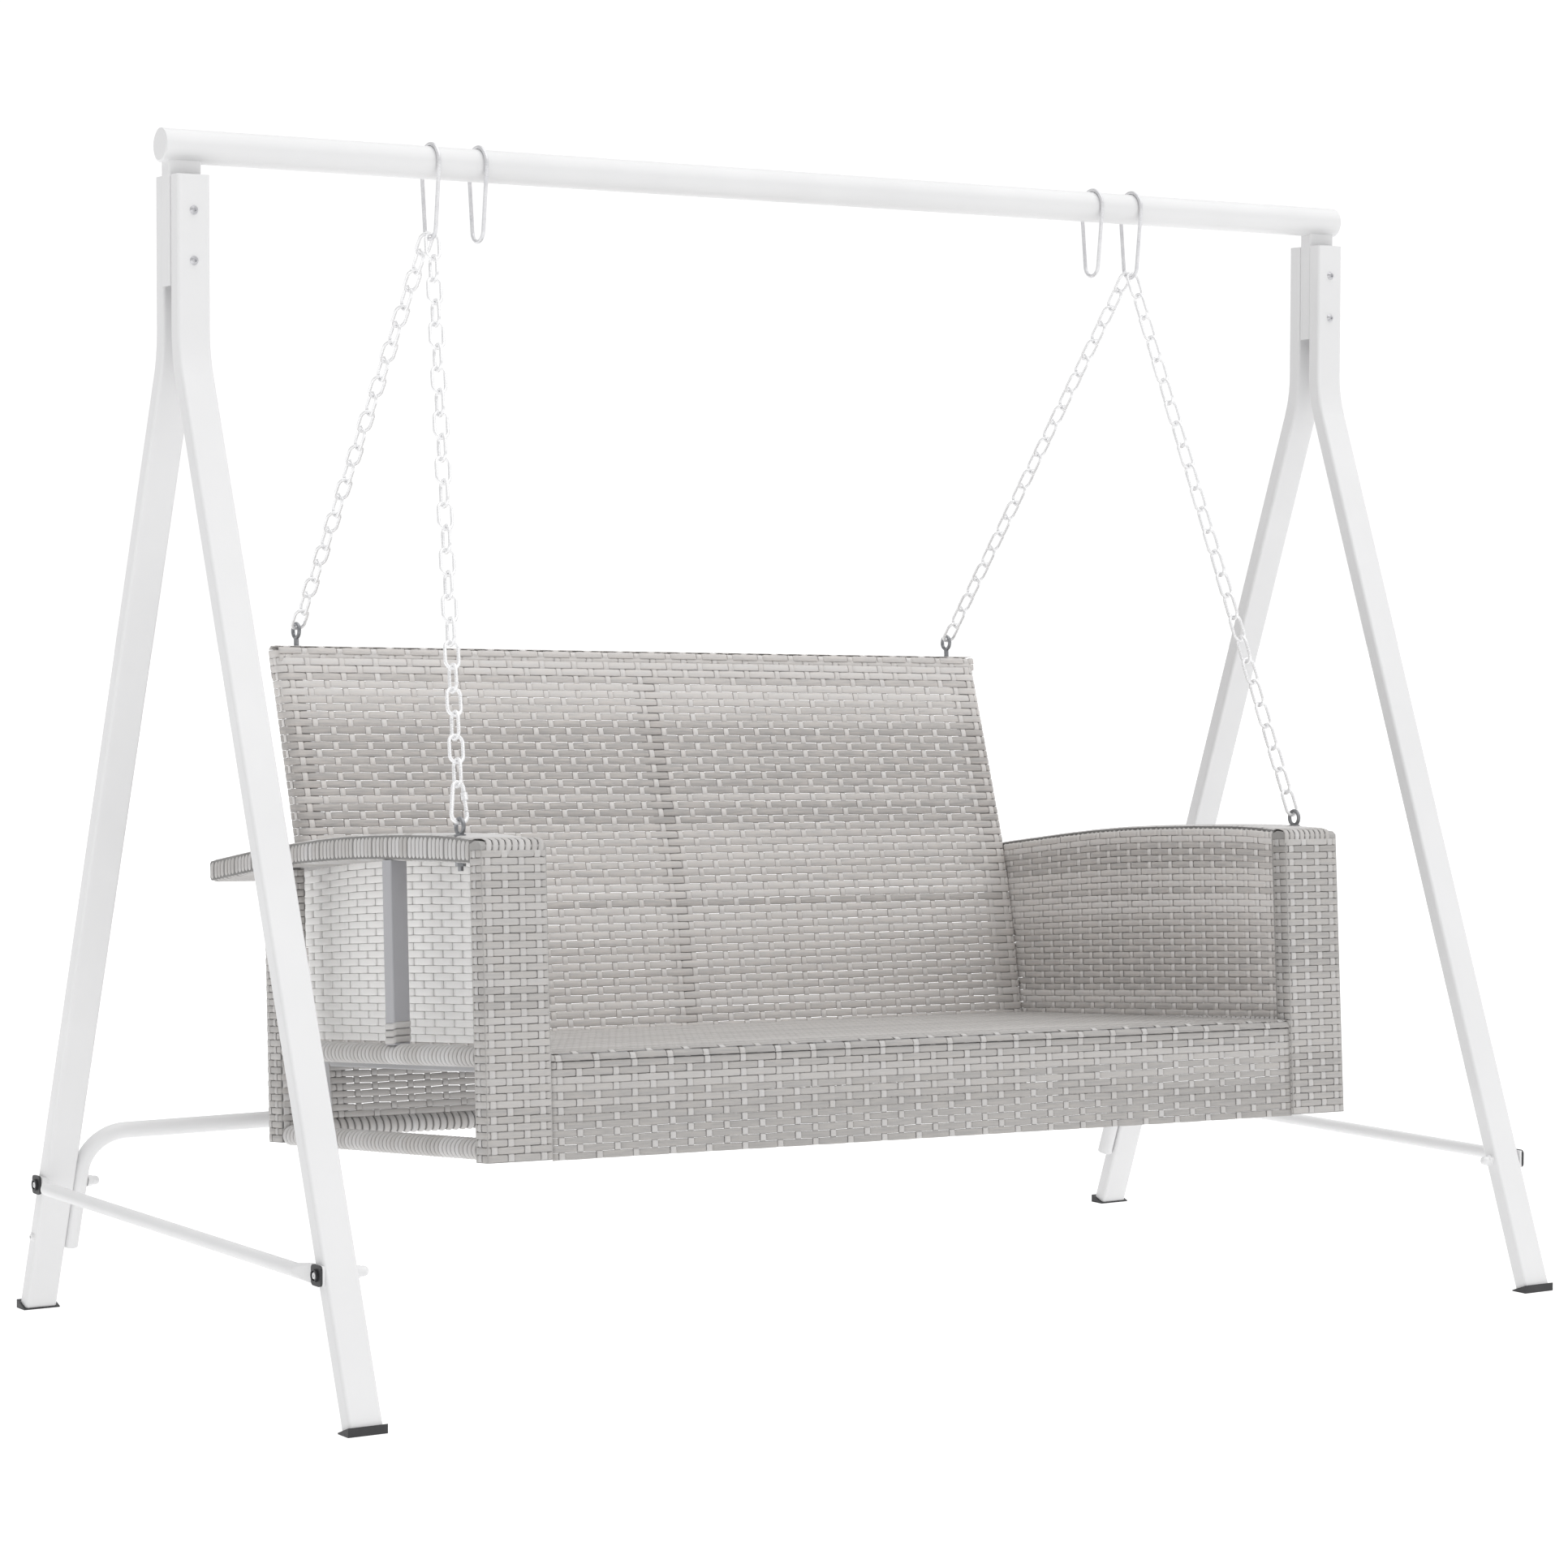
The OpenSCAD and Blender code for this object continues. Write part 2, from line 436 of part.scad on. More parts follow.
back_bottom_rail();
front_post(-1);  // left_front_post
front_post(1);  // right_front_post
front_post_tubes();
arm_top(-1);  // left_arm_top
arm_top(1);  // right_arm_top
arm_panel(-1);  // left_arm_panel
arm_panel(1);  // right_arm_panel
side_mid_rails();
side_bottom_rails();
rear_column(-1);  // left_rear_column
rear_column(1);  // right_rear_column
arm_braces();
arm_frame_tubes();
eyebolts();
eyebolt_nuts();
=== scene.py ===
import bpy, math, random
import numpy as np
from mathutils import Matrix, Vector


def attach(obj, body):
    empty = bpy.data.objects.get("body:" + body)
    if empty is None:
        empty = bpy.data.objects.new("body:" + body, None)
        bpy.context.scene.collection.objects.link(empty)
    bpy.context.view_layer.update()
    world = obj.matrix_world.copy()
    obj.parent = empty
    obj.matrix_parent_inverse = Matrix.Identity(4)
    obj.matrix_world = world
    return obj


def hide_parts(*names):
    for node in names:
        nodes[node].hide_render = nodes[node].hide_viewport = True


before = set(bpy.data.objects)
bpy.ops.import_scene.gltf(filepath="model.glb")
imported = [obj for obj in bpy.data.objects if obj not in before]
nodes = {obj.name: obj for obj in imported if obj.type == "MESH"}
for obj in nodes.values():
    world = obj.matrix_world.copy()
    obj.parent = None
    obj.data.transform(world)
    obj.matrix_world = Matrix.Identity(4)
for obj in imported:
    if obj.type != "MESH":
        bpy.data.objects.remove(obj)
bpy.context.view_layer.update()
MM = 0.001

# ------------------------------------------------------------------ camera
def make_camera():
    yaw, pitch, roll = math.radians(32.695), math.radians(-2.723), math.radians(0.169)
    f = Vector((math.sin(yaw) * math.cos(pitch), math.cos(yaw) * math.cos(pitch), math.sin(pitch)))
    right = Vector((math.cos(yaw), -math.sin(yaw), 0))
    up = right.cross(f)
    r = right * math.cos(roll) + up * math.sin(roll)
    u = up * math.cos(roll) - right * math.sin(roll)
    m = Matrix(((r.x, u.x, -f.x), (r.y, u.y, -f.y), (r.z, u.z, -f.z)))
    data = bpy.data.cameras.new("camera")
    cam = bpy.data.objects.new("camera", data)
    bpy.context.scene.collection.objects.link(cam)
    cam.matrix_world = Matrix.Translation((-3.3908, -5.2425, 1.098)) @ m.to_4x4()
    data.sensor_width = 36
    data.lens = 4984.8 / 1932 * 36
    data.clip_end = 200
    bpy.context.scene.camera = cam
    return cam

cam = make_camera()

# ------------------------------------------------------------------ materials
def new_mat(name):
    m = bpy.data.materials.new(name)
    m.use_nodes = True
    nt = m.node_tree
    for n in list(nt.nodes):
        nt.nodes.remove(n)
    out = nt.nodes.new("ShaderNodeOutputMaterial")
    bsdf = nt.nodes.new("ShaderNodeBsdfPrincipled")
    nt.links.new(bsdf.outputs[0], out.inputs[0])
    return m, nt, bsdf

def noise(nt, vec, scale, detail=3.0, rough=0.5):
    n = nt.nodes.new("ShaderNodeTexNoise")
    n.inputs["Scale"].default_value = scale
    n.inputs["Detail"].default_value = detail
    n.inputs["Roughness"].default_value = rough
    nt.links.new(vec, n.inputs["Vector"])
    return n.outputs["Fac"]

def ramp(nt, fac, stops):
    r = nt.nodes.new("ShaderNodeValToRGB")
    e = r.color_ramp.elements
    while len(e) < len(stops):
        e.new(0.5)
    for el, (p, c) in zip(e, stops):
        el.position = p
        el.color = (c[0], c[1], c[2], 1)
    nt.links.new(fac, r.inputs[0])
    return r.outputs[0]

def math_node(nt, op, a, b=None, v=0.0):
    n = nt.nodes.new("ShaderNodeMath")
    n.operation = op
    nt.links.new(a, n.inputs[0])
    if b is not None:
        nt.links.new(b, n.inputs[1])
    else:
        n.inputs[1].default_value = v
    return n.outputs[0]

def map_range(nt, fac, a, b, c, d):
    n = nt.nodes.new("ShaderNodeMapRange")
    n.inputs[1].default_value, n.inputs[2].default_value = a, b
    n.inputs[3].default_value, n.inputs[4].default_value = c, d
    nt.links.new(fac, n.inputs[0])
    return n.outputs[0]

def bump(nt, height, strength, distance, chain=None):
    n = nt.nodes.new("ShaderNodeBump")
    n.inputs["Strength"].default_value = strength
    n.inputs["Distance"].default_value = distance
    nt.links.new(height, n.inputs["Height"])
    if chain is not None:
        nt.links.new(chain, n.inputs["Normal"])
    return n.outputs[0]

def object_vec(nt):
    t = nt.nodes.new("ShaderNodeTexCoord")
    return t.outputs["Object"]

def mat_powder(name, base, dark, rough=0.38):
    """Powder coat: fine orange peel, a faint tone drift, slightly duller worn patches."""
    m, nt, b = new_mat(name)
    v = object_vec(nt)
    drift = noise(nt, v, 3.0, 4.0, 0.6)
    peel = noise(nt, v, 420.0, 2.0, 0.5)
    speck = noise(nt, v, 1500.0, 1.0, 0.5)
    nt.links.new(ramp(nt, drift, [(0.25, dark), (0.62, base)]), b.inputs["Base Color"])
    nt.links.new(map_range(nt, drift, 0.3, 0.7, rough + 0.10, rough - 0.04), b.inputs["Roughness"])
    n1 = bump(nt, peel, 0.10, 0.0006)
    nt.links.new(bump(nt, speck, 0.05, 0.0003, n1), b.inputs["Normal"])
    b.inputs["Specular IOR Level"].default_value = 0.5
    b.inputs["Coat Weight"].default_value = 0.12
    b.inputs["Coat Roughness"].default_value = 0.3
    return m

def mat_metal(name, base, dark, rough=0.34, metallic=0.9, scale=60.0):
    """Plated steel: cloudy plate in two tones, fine scratches."""
    m, nt, b = new_mat(name)
    v = object_vec(nt)
    cloud = noise(nt, v, scale, 4.0, 0.6)
    mp = nt.nodes.new("ShaderNodeMapping")
    mp.inputs["Scale"].default_value = (1.0, 1.0, 14.0)
    nt.links.new(v, mp.inputs["Vector"])
    scratch = noise(nt, mp.outputs[0], 260.0, 3.0, 0.7)
    nt.links.new(ramp(nt, cloud, [(0.3, dark), (0.7, base)]), b.inputs["Base Color"])
    nt.links.new(map_range(nt, scratch, 0.3, 0.7, rough - 0.08, rough + 0.12), b.inputs["Roughness"])
    nt.links.new(bump(nt, scratch, 0.12, 0.0002), b.inputs["Normal"])
    b.inputs["Metallic"].default_value = metallic
    return m

def mat_plastic(name, base, dark, rough=0.5, grain=700.0):
    """Moulded plastic: fine spark grain and a faint tone drift."""
    m, nt, b = new_mat(name)
    v = object_vec(nt)
    g = noise(nt, v, grain, 2.0, 0.6)
    d = noise(nt, v, 22.0, 3.0, 0.6)
    nt.links.new(ramp(nt, d, [(0.3, dark), (0.7, base)]), b.inputs["Base Color"])
    nt.links.new(map_range(nt, g, 0.3, 0.7, rough - 0.07, rough + 0.1), b.inputs["Roughness"])
    nt.links.new(bump(nt, g, 0.25, 0.0004), b.inputs["Normal"])
    return m

def mat_wicker(name, dark, mid, light, warm, rough=0.42):
    """Flat extruded resin strand. "tone" is each strand's own shade; "along" and "across" run with the strand, so the
    drawn grain follows it."""
    m, nt, b = new_mat(name)
    at = {}
    for k in ("tone", "along", "across"):
        a = nt.nodes.new("ShaderNodeAttribute")
        a.attribute_name = k
        at[k] = a.outputs["Fac"]
    comb = nt.nodes.new("ShaderNodeCombineXYZ")
    nt.links.new(at["along"], comb.inputs[0])
    nt.links.new(math_node(nt, "MULTIPLY", at["across"], v=16.0), comb.inputs[1])
    nt.links.new(math_node(nt, "MULTIPLY", at["tone"], v=37.0), comb.inputs[2])
    streak = noise(nt, comb.outputs[0], 9.0, 5.0, 0.65)
    patch = noise(nt, comb.outputs[0], 2.2, 3.0, 0.5)
    fac = math_node(nt, "ADD", at["tone"], math_node(nt, "MULTIPLY", math_node(nt, "SUBTRACT", streak, v=0.5), v=0.42))
    fac = math_node(nt, "ADD", fac, math_node(nt, "MULTIPLY", math_node(nt, "SUBTRACT", patch, v=0.5), v=0.30))
    col = ramp(nt, fac, [(0.0, dark), (0.45, mid), (1.0, light)])
    wr = nt.nodes.new("ShaderNodeMix")
    wr.data_type = "RGBA"
    wr.inputs[7].default_value = (warm[0], warm[1], warm[2], 1)
    nt.links.new(col, wr.inputs[6])
    nt.links.new(map_range(nt, patch, 0.35, 0.7, 0.0, 0.35), wr.inputs[0])
    nt.links.new(wr.outputs[2], b.inputs["Base Color"])
    nt.links.new(map_range(nt, streak, 0.3, 0.7, rough - 0.08, rough + 0.12), b.inputs["Roughness"])
    nt.links.new(bump(nt, streak, 0.35, 0.0006), b.inputs["Normal"])
    b.inputs["Specular IOR Level"].default_value = 0.45
    return m

M = {
    "white": mat_powder("white_powder_coat", (0.785, 0.785, 0.79), (0.745, 0.745, 0.75)),
    "bench_paint": mat_powder("bench_grey_paint", (0.42, 0.42, 0.43), (0.36, 0.36, 0.37), 0.45),
    "brace": mat_powder("brace_grey_paint", (0.40, 0.40, 0.42), (0.34, 0.34, 0.36), 0.40),
    "black": mat_plastic("black_plastic", (0.035, 0.035, 0.037), (0.018, 0.018, 0.02), 0.45),
    "zinc": mat_metal("zinc_hardware", (0.72, 0.72, 0.74), (0.50, 0.50, 0.52), 0.32),
    "hook": mat_metal("hook_wire", (0.80, 0.80, 0.81), (0.68, 0.68, 0.70), 0.30, 0.35),
    "chain": mat_metal("bright_chain", (0.95, 0.95, 0.955), (0.86, 0.86, 0.87), 0.24, 0.35, 90.0),
    "dark": mat_metal("dark_steel", (0.36, 0.365, 0.38), (0.22, 0.225, 0.235), 0.36, 0.75),
    "wicker": mat_wicker("grey_wicker", (0.345, 0.335, 0.328), (0.475, 0.462, 0.452), (0.64, 0.635, 0.64), (0.50, 0.465, 0.425)),
    # the backrest cloth and its top roll use the grey wicker painted brighter: painted light standing in for the
    # stronger light on the backrest
    "wicker_back_painted_brighter": mat_wicker("grey_wicker_back", (0.385, 0.37, 0.36), (0.60, 0.58, 0.565), (0.76, 0.75, 0.745), (0.68, 0.615, 0.56), 0.46),
    # the inner arm panels use the grey wicker painted brighter still: painted light standing in for the light falling
    # on the arm panels
    "wicker_arm_painted_brighter": mat_wicker("grey_wicker_arm", (0.49, 0.475, 0.465), (0.70, 0.68, 0.665), (0.88, 0.87, 0.87), (0.78, 0.71, 0.65), 0.5),
    "cream": mat_wicker("cream_wicker_reverse", (0.87, 0.86, 0.845), (0.93, 0.922, 0.91), (0.965, 0.96, 0.95), (0.93, 0.915, 0.895), 0.5),
}

def assign(obj, mat):
    obj.data.materials.clear()
    obj.data.materials.append(mat)

def node_material(names, key):
    for n in names:
        o = nodes[n]
        while len(o.material_slots) < 1:
            o.data.materials.append(M[key])
        for s in o.material_slots:
            s.link = "OBJECT"
            s.material = M[key]

node_material(["top_beam", "beam_end_caps", "left_beam_post", "right_beam_post", "left_front_leg", "right_front_leg",
               "left_rear_leg", "right_rear_leg", "rear_crossbar", "left_side_rail", "right_side_rail", "rail_bolts",
               "rail_cap_nuts", "crossbar_lower_bolts", "rail_washers"], "white")
node_material(["foot_caps", "rail_end_covers"], "black")
node_material(["leg_bolts", "leg_bolt_nuts"], "zinc")
node_material(["left_swing_hook", "right_swing_hook", "left_spare_hook", "right_spare_hook"], "hook")
node_material(["left_front_chain", "right_front_chain", "left_rear_chain", "right_rear_chain", "carabiner_body",
               "carabiner_gate", "carabiner_sleeve"], "chain")
node_material(["eyebolts", "eyebolt_nuts"], "dark")
node_material(["seat_front_beam", "seat_rear_rail", "seat_side_rails", "seat_cross_supports", "back_top_rail", "back_stiles",
               "front_post_tubes", "arm_frame_tubes"], "bench_paint")
node_material(["arm_braces"], "brace")

# ------------------------------------------------------------------ bench frame
TILT = math.radians(5.5)
CT, ST = math.cos(TILT), math.sin(TILT)
SWAY = math.radians(1.37)
SWAY_AXIS = np.array([0.5655, 0.82, -0.0882])
SWAY_AXIS = SWAY_AXIS / np.linalg.norm(SWAY_AXIS)
SWAY_AT = np.array([155.7, -100.0, 545.1])

def W(p):
    """bench (u, v, w) in mm, shape (n, 3), to the row frame in metres"""
    p = np.asarray(p, float)
    q = np.stack([p[..., 0], -412.4 + p[..., 1] * CT + p[..., 2] * ST, 303.3 - p[..., 1] * ST + p[..., 2] * CT], -1) - SWAY_AT
    q = q * math.cos(SWAY) + np.cross(SWAY_AXIS, q) * math.sin(SWAY) + SWAY_AXIS * (q @ SWAY_AXIS)[..., None] * (1 - math.cos(SWAY))
    return (q + SWAY_AT) * MM

def bv(w):
    w = np.asarray(w, float)
    return 706 + 0.12 * (w - 154) + 0.0725 * ((w - 390) + np.sqrt((w - 390) ** 2 + 3600))

def seat_z(v):
    return 146 + 8 * np.asarray(v, float) / 706

# ------------------------------------------------------------------ strands
SECTION = np.array([(-1.0, -0.15), (-0.78, 0.38), (0.0, 0.52), (0.78, 0.38), (1.0, -0.15), (0.0, -0.48)])
ROUND = np.array([(-1.0, -0.30), (-0.62, 0.34), (0.0, 0.60), (0.62, 0.34), (1.0, -0.30), (0.0, -0.48)])

class Strands:
    """Many flat crowned strands in one mesh, in bench millimetres."""
    def __init__(self):
        self.co, self.quads, self.tone, self.along, self.across = [], [], [], [], []
        self.count = 0

    def add(self, c, side, nrm, hw, th, tone, closed=False, section=SECTION):
        c, side, nrm = (np.asarray(x, float) for x in (c, side, nrm))
        n, k = len(c), len(section)
        hw = np.broadcast_to(np.asarray(hw, float), (n,))
        tone = np.broadcast_to(np.asarray(tone, float), (n,))
        pts = (c[:, None, :] + side[:, None, :] * (section[None, :, 0:1] * hw[:, None, None])
               + nrm[:, None, :] * (section[None, :, 1:2] * th))
        self.co.append(pts.reshape(-1, 3))
        s = np.concatenate([[0.0], np.cumsum(np.linalg.norm(np.diff(c, axis=0), axis=1))]) * 0.01
        self.tone.append(np.repeat(tone, k))
        self.along.append(np.repeat(s + self.count * 0.37 % 11, k))
        self.across.append(np.tile(section[:, 0] * 0.05, n))
        i = np.arange(n - 1)[:, None] * k
        j = np.arange(k)[None, :]
        j2 = (j + 1) % k
        q = np.stack([i + j, i + j2, i + k + j2, i + k + j], -1).reshape(-1, 4)
        if closed:
            e = (n - 1) * k
            q = np.concatenate([q, np.stack([e + np.arange(k), e + (np.arange(k) + 1) % k, (np.arange(k) + 1) % k, np.arange(k)], -1)])
        else:
            e = (n - 1) * k
            q = np.concatenate([q, [[3, 2, 1, 0], [5, 4, 3, 0], [e, e + 1, e + 2, e + 3], [e + 0, e + 3, e + 4, e + 5]]])
        self.quads.append(q + self.count)
        self.count += n * k

    def build(self, name, mat, body="bench", replaces=()):
        co = W(np.concatenate(self.co)).astype(np.float32)
        q = np.concatenate(self.quads).astype(np.int32)
        me = bpy.data.meshes.new(name)
        me.vertices.add(len(co))
        me.vertices.foreach_set("co", co.ravel())
        me.loops.add(q.size)
        me.loops.foreach_set("vertex_index", q.ravel())
        me.polygons.add(len(q))
        me.polygons.foreach_set("loop_start", np.arange(0, q.size, 4, dtype=np.int32))
        me.polygons.foreach_set("use_smooth", np.ones(len(q), bool))
        for k in ("tone", "along", "across"):
            a = me.attributes.new(k, "FLOAT", "POINT")
            a.data.foreach_set("value", np.concatenate(getattr(self, k)).astype(np.float32))
        me.update(calc_edges=True)
        me.validate()
        o = bpy.data.objects.new(name, me)
        bpy.context.scene.collection.objects.link(o)
        assign(o, mat)
        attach(o, body)
        if replaces:
            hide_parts(*replaces)
        return o

def frame_of(surf, a, b, e=0.4):
    """point, unit tangent along a, unit tangent along b, outward normal of surf(a, b)"""
    p = surf(a, b)
    ta = surf(a + e, b) - surf(a - e, b)
    tb = surf(a, b + e) - surf(a, b - e)
    ta /= np.linalg.norm(ta, axis=-1, keepdims=True)
    tb /= np.linalg.norm(tb, axis=-1, keepdims=True)
    n = np.cross(ta, tb)
    n /= np.linalg.norm(n, axis=-1, keepdims=True)
    return p, ta, tb, n

def step_up(d, inner, outer):
    """-1 within inner of a crossing, +1 beyond outer, smooth between"""
    t = np.clip((d - inner) / (outer - inner), 0, 1)
    return 2 * t * t * (3 - 2 * t) - 1

def row_tones(rng, n, lo=0.14, hi=0.56):
    """Rows come in runs of a like shade, as strands from a few spools do."""
    out, run = [], 0
    for _ in range(n):
        if run <= 0:
            base = rng.uniform(lo, hi)
            run = rng.choice([1, 1, 2, 2, 3, 4])
        run -= 1
        out.append(base + rng.uniform(-0.05, 0.05))
    return out

def weave(name, surf, a0, a1, b0, b1, flip=1.0, warp=30.0, row=10.3, seed=1, amp=0.95, th=1.3, narrow=0.14, clip=None,
          lift=0.0, body="bench", replaces=(), mat="wicker", fine=None, tone_lo=0.14, tone_hi=0.56, rib=5.0):
    """Plain weave: rows along a, ribs along b. clip(a, b) -> True where there is cloth."""
    rng = random.Random(seed)
    s = Strands()
    nrow = max(1, int(round((b1 - b0) / row)))
    row = (b1 - b0) / nrow
    nw = max(2, int(round((a1 - a0) / warp)))
    pitch = (a1 - a0) / nw
    ribs = a0 + pitch * (np.arange(nw) + 0.5)
    tones = row_tones(rng, nrow, tone_lo, tone_hi)
    for j in range(nrow):
        b = b0 + (j + 0.5) * row
        under = ribs[(np.arange(nw) + j) % 2 == 0]
        a = [a0, a1]
        for x in under:
            a += [x + k for k in (-8.2, -6.3, -4.6, 0.0, 4.6, 6.3, 8.2)]
        for x in ribs[(np.arange(nw) + j) % 2 == 1]:
            a += [x - pitch * 0.28, x, x + pitch * 0.28]
        if fine:
            a += list(np.arange(a0, a1, fine))
        a = np.array(sorted(v for v in a if a0 <= v <= a1))
        a = a[np.concatenate([[True], np.diff(a) > 0.7])]
        if clip is not None:
            keep = clip(a, np.full_like(a, b))
            if keep.sum() < 2:
                continue
            idx = np.where(keep)[0]
            a = a[idx[0]:idx[-1] + 1]
        d = np.abs(a[:, None] - under[None, :]).min(1) if len(under) else np.full_like(a, 99.0)
        h = step_up(d, 4.8, 7.6)
        p, ta, tb, n = frame_of(surf, a, np.full_like(a, b))
        n = n * flip
        ph = rng.uniform(0, 6.28)
        wob = 0.14 * np.sin(a / 90.0 + ph) + 0.05 * np.sin(a / 23.0 + 2 * ph)
        hw = row / 2 * 0.975 * (1 - narrow * np.clip((9.5 - d) / 3.0, 0, 1))
        s.add(p + n * (lift + amp * h)[:, None] + tb * wob[:, None], tb, n, hw, th, tones[j] + 0.04 * np.sin(a / 140.0 + ph))
    for i, a in enumerate(ribs):
        over = b0 + (np.arange(nrow) + 0.5) * row
        over = over[(i + np.arange(nrow)) % 2 == 0]
        b = [b0 + 0.3, b1 - 0.3]
        for x in over:
            b += [x + k * row / 10.3 for k in (-5.6, -3.7, 0.0, 3.7, 5.6, 10.3)]
        b = np.array(sorted(v for v in b if b0 + 0.3 <= v <= b1 - 0.3))
        b = b[np.concatenate([[True], np.diff(b) > 0.5])]
        aa = np.full_like(b, a)
        if clip is not None:
            keep = clip(aa, b)
            if keep.sum() < 2:
                continue
            idx = np.where(keep)[0]
            b = b[idx[0]:idx[-1] + 1]
            aa = aa[:len(b)]
        d = np.abs(b[:, None] - over[None, :]).min(1)
        p, ta, tb, n = frame_of(surf, aa, b)
        n = n * flip
        wob = 0.5 * np.sin(b / 47.0 + rng.uniform(0, 6.28))
        s.add(p + n * (lift - amp * step_up(d, 3.8 * row / 10.3, 5.8 * row / 10.3))[:, None] + ta * wob[:, None], -ta, n, rib, th * 0.95, 0.66 + rng.uniform(-0.12, 0.12))
    return s.build(name, M[mat], body, replaces)

def bricks(name, surf, a0, a1, b0, b1, flip=1.0, row=10.9, length=60.0, seed=3, th=0.65, clip=None, lift=0.0, body="bench"):
    """The pale reverse of a woven panel: long flat floats in running bond."""
    rng = random.Random(seed)
    s = Strands()
    nrow = int(round((b1 - b0) / row))
    row = (b1 - b0) / nrow
    for j in range(nrow):
        b = b0 + (j + 0.5) * row
        start = a0 - (length / 2 if j % 2 else 0) - 14 + rng.uniform(-1, 1)
        while start < a1:
            lo, hi = max(a0, start + 0.75), min(a1, start + length - 0.75)
            start += length
            if hi - lo < 5:
                continue
            a = np.linspace(lo, hi, max(3, int((hi - lo) / 9) + 1))
            if clip is not None:
                keep = clip(a, np.full_like(a, b))
                if keep.sum() < 2:
                    continue
                idx = np.where(keep)[0]
                a = a[idx[0]:idx[-1] + 1]
                if len(a) < 2:
                    continue
            t = (a - a[0]) / (a[-1] - a[0])
            sag = 0.55 * (1 - (2 * t - 1) ** 6)
            p, ta, tb, n = frame_of(surf, a, np.full_like(a, b))
            n = n * flip
            s.add(p + n * (lift + sag)[:, None], tb, n, row / 2 * 1.01, th, 0.6 + rng.uniform(-0.16, 0.2))
    return s.build(name, M["cream"], body)

def wrap(name, path, tangent, outline, s0, s1, pitch=12.2, width=11.0, th=3.0, seed=5, lift=0.0, groups=None, body="bench",
         mat="wicker", tone=(0.35, 0.75), replaces=()):
    """Strand wound round a bar. path(s) -> centre, tangent(s) -> unit vector, outline(s) -> (m, 3) offsets and (m, 3) normals."""
    rng = random.Random(seed)
    st = Strands()
    pos, n = s0 + pitch / 2, 0
    nxt = rng.randint(3, 5)
    shade = rng.uniform(*tone)
    while pos < s1 - pitch / 2:
        off, nrm = outline(pos)
        m = len(off)
        c = path(pos)[None, :] + off + nrm * (lift + th * 0.5)
        slide = np.linspace(-0.5, 0.5, m) * pitch * 0.9
        t = tangent(pos)
        c = c + t[None, :] * slide[:, None]
        side = np.repeat(t[None, :], m, 0)
        if rng.random() < 0.3:
            shade = rng.uniform(*tone)
        st.add(c, side, nrm, width / 2, th, shade + rng.uniform(-0.08, 0.08), section=ROUND)
        pos += pitch * rng.uniform(0.985, 1.015)
        n += 1
        if groups and n >= nxt:
            pos += groups
            n, nxt = 0, rng.randint(3, 5)
    return st.build(name, M[mat], body, replaces)

def rounded_rect(w, h, r, n=5):
    """Closed outline of a rounded rectangle from the middle of one side: points and outward normals in 2-D."""
    pts, nrm = [], []
    for cx, cy, a0 in ((w / 2 - r, h / 2 - r, 0), (-w / 2 + r, h / 2 - r, 90), (-w / 2 + r, -h / 2 + r, 180), (w / 2 - r, -h / 2 + r, 270)):
        for k in range(n + 1):
            a = math.radians(a0 + 90 * k / n)
            pts.append((cx + r * math.cos(a), cy + r * math.sin(a)))
            nrm.append((math.cos(a), math.sin(a)))
    return np.array(pts), np.array(nrm)

def perimeter_surface(cx, cy, w, h, r, z0):
    """surf(a, b) round a rounded rectangle in the u-v plane, a along the perimeter, b up"""
    pts, _ = rounded_rect(w, h, r, 6)
    pts = np.concatenate([pts, pts[:1]])
    seg = np.linalg.norm(np.diff(pts, axis=0), axis=1)
    cum = np.concatenate([[0], np.cumsum(seg)])
    total = cum[-1]

    def surf(a, b):
        a = np.mod(a, total)
        x = np.interp(a, cum, pts[:, 0]) + cx
        y = np.interp(a, cum, pts[:, 1]) + cy
        return np.stack([x, y, z0 + b], -1)
    return surf, total

# ------------------------------------------------------------------ woven panels
# backrest: rows run round both side edges of the frame
BH = 661.0
b_w = np.linspace(156, 762, 80)
b_len = np.concatenate([[0], np.cumsum(np.hypot(np.diff(b_w), np.diff(bv(b_w))))])
def back_surf(a, b):
    a = np.asarray(a, float)
    w = np.interp(b, b_len, b_w) + np.minimum(b, 0) + np.maximum(b - b_len[-1], 0)
    r, side = 7.0, 24.0
    over = np.maximum(np.abs(a) - (BH - r), 0)
    ang = np.clip(over / r, 0, math.pi / 2)
    rest = np.maximum(over - r * math.pi / 2, 0)
    u = np.sign(a) * (np.minimum(np.abs(a), BH - r) + r * np.sin(ang))
    v = bv(w) + r * (1 - np.cos(ang)) + rest
    return np.stack([u, v, w], -1)
AE = BH - 7 + 7 * math.pi / 2 + 24
weave("back_weave_cloth", back_surf, -AE, AE, -8.5, b_len[-1], seed=11, row=12.6, narrow=0.09, amp=0.7, replaces=("back_weave",), flip=1.0,
      tone_lo=0.0, tone_hi=0.74, mat="wicker_back_painted_brighter")

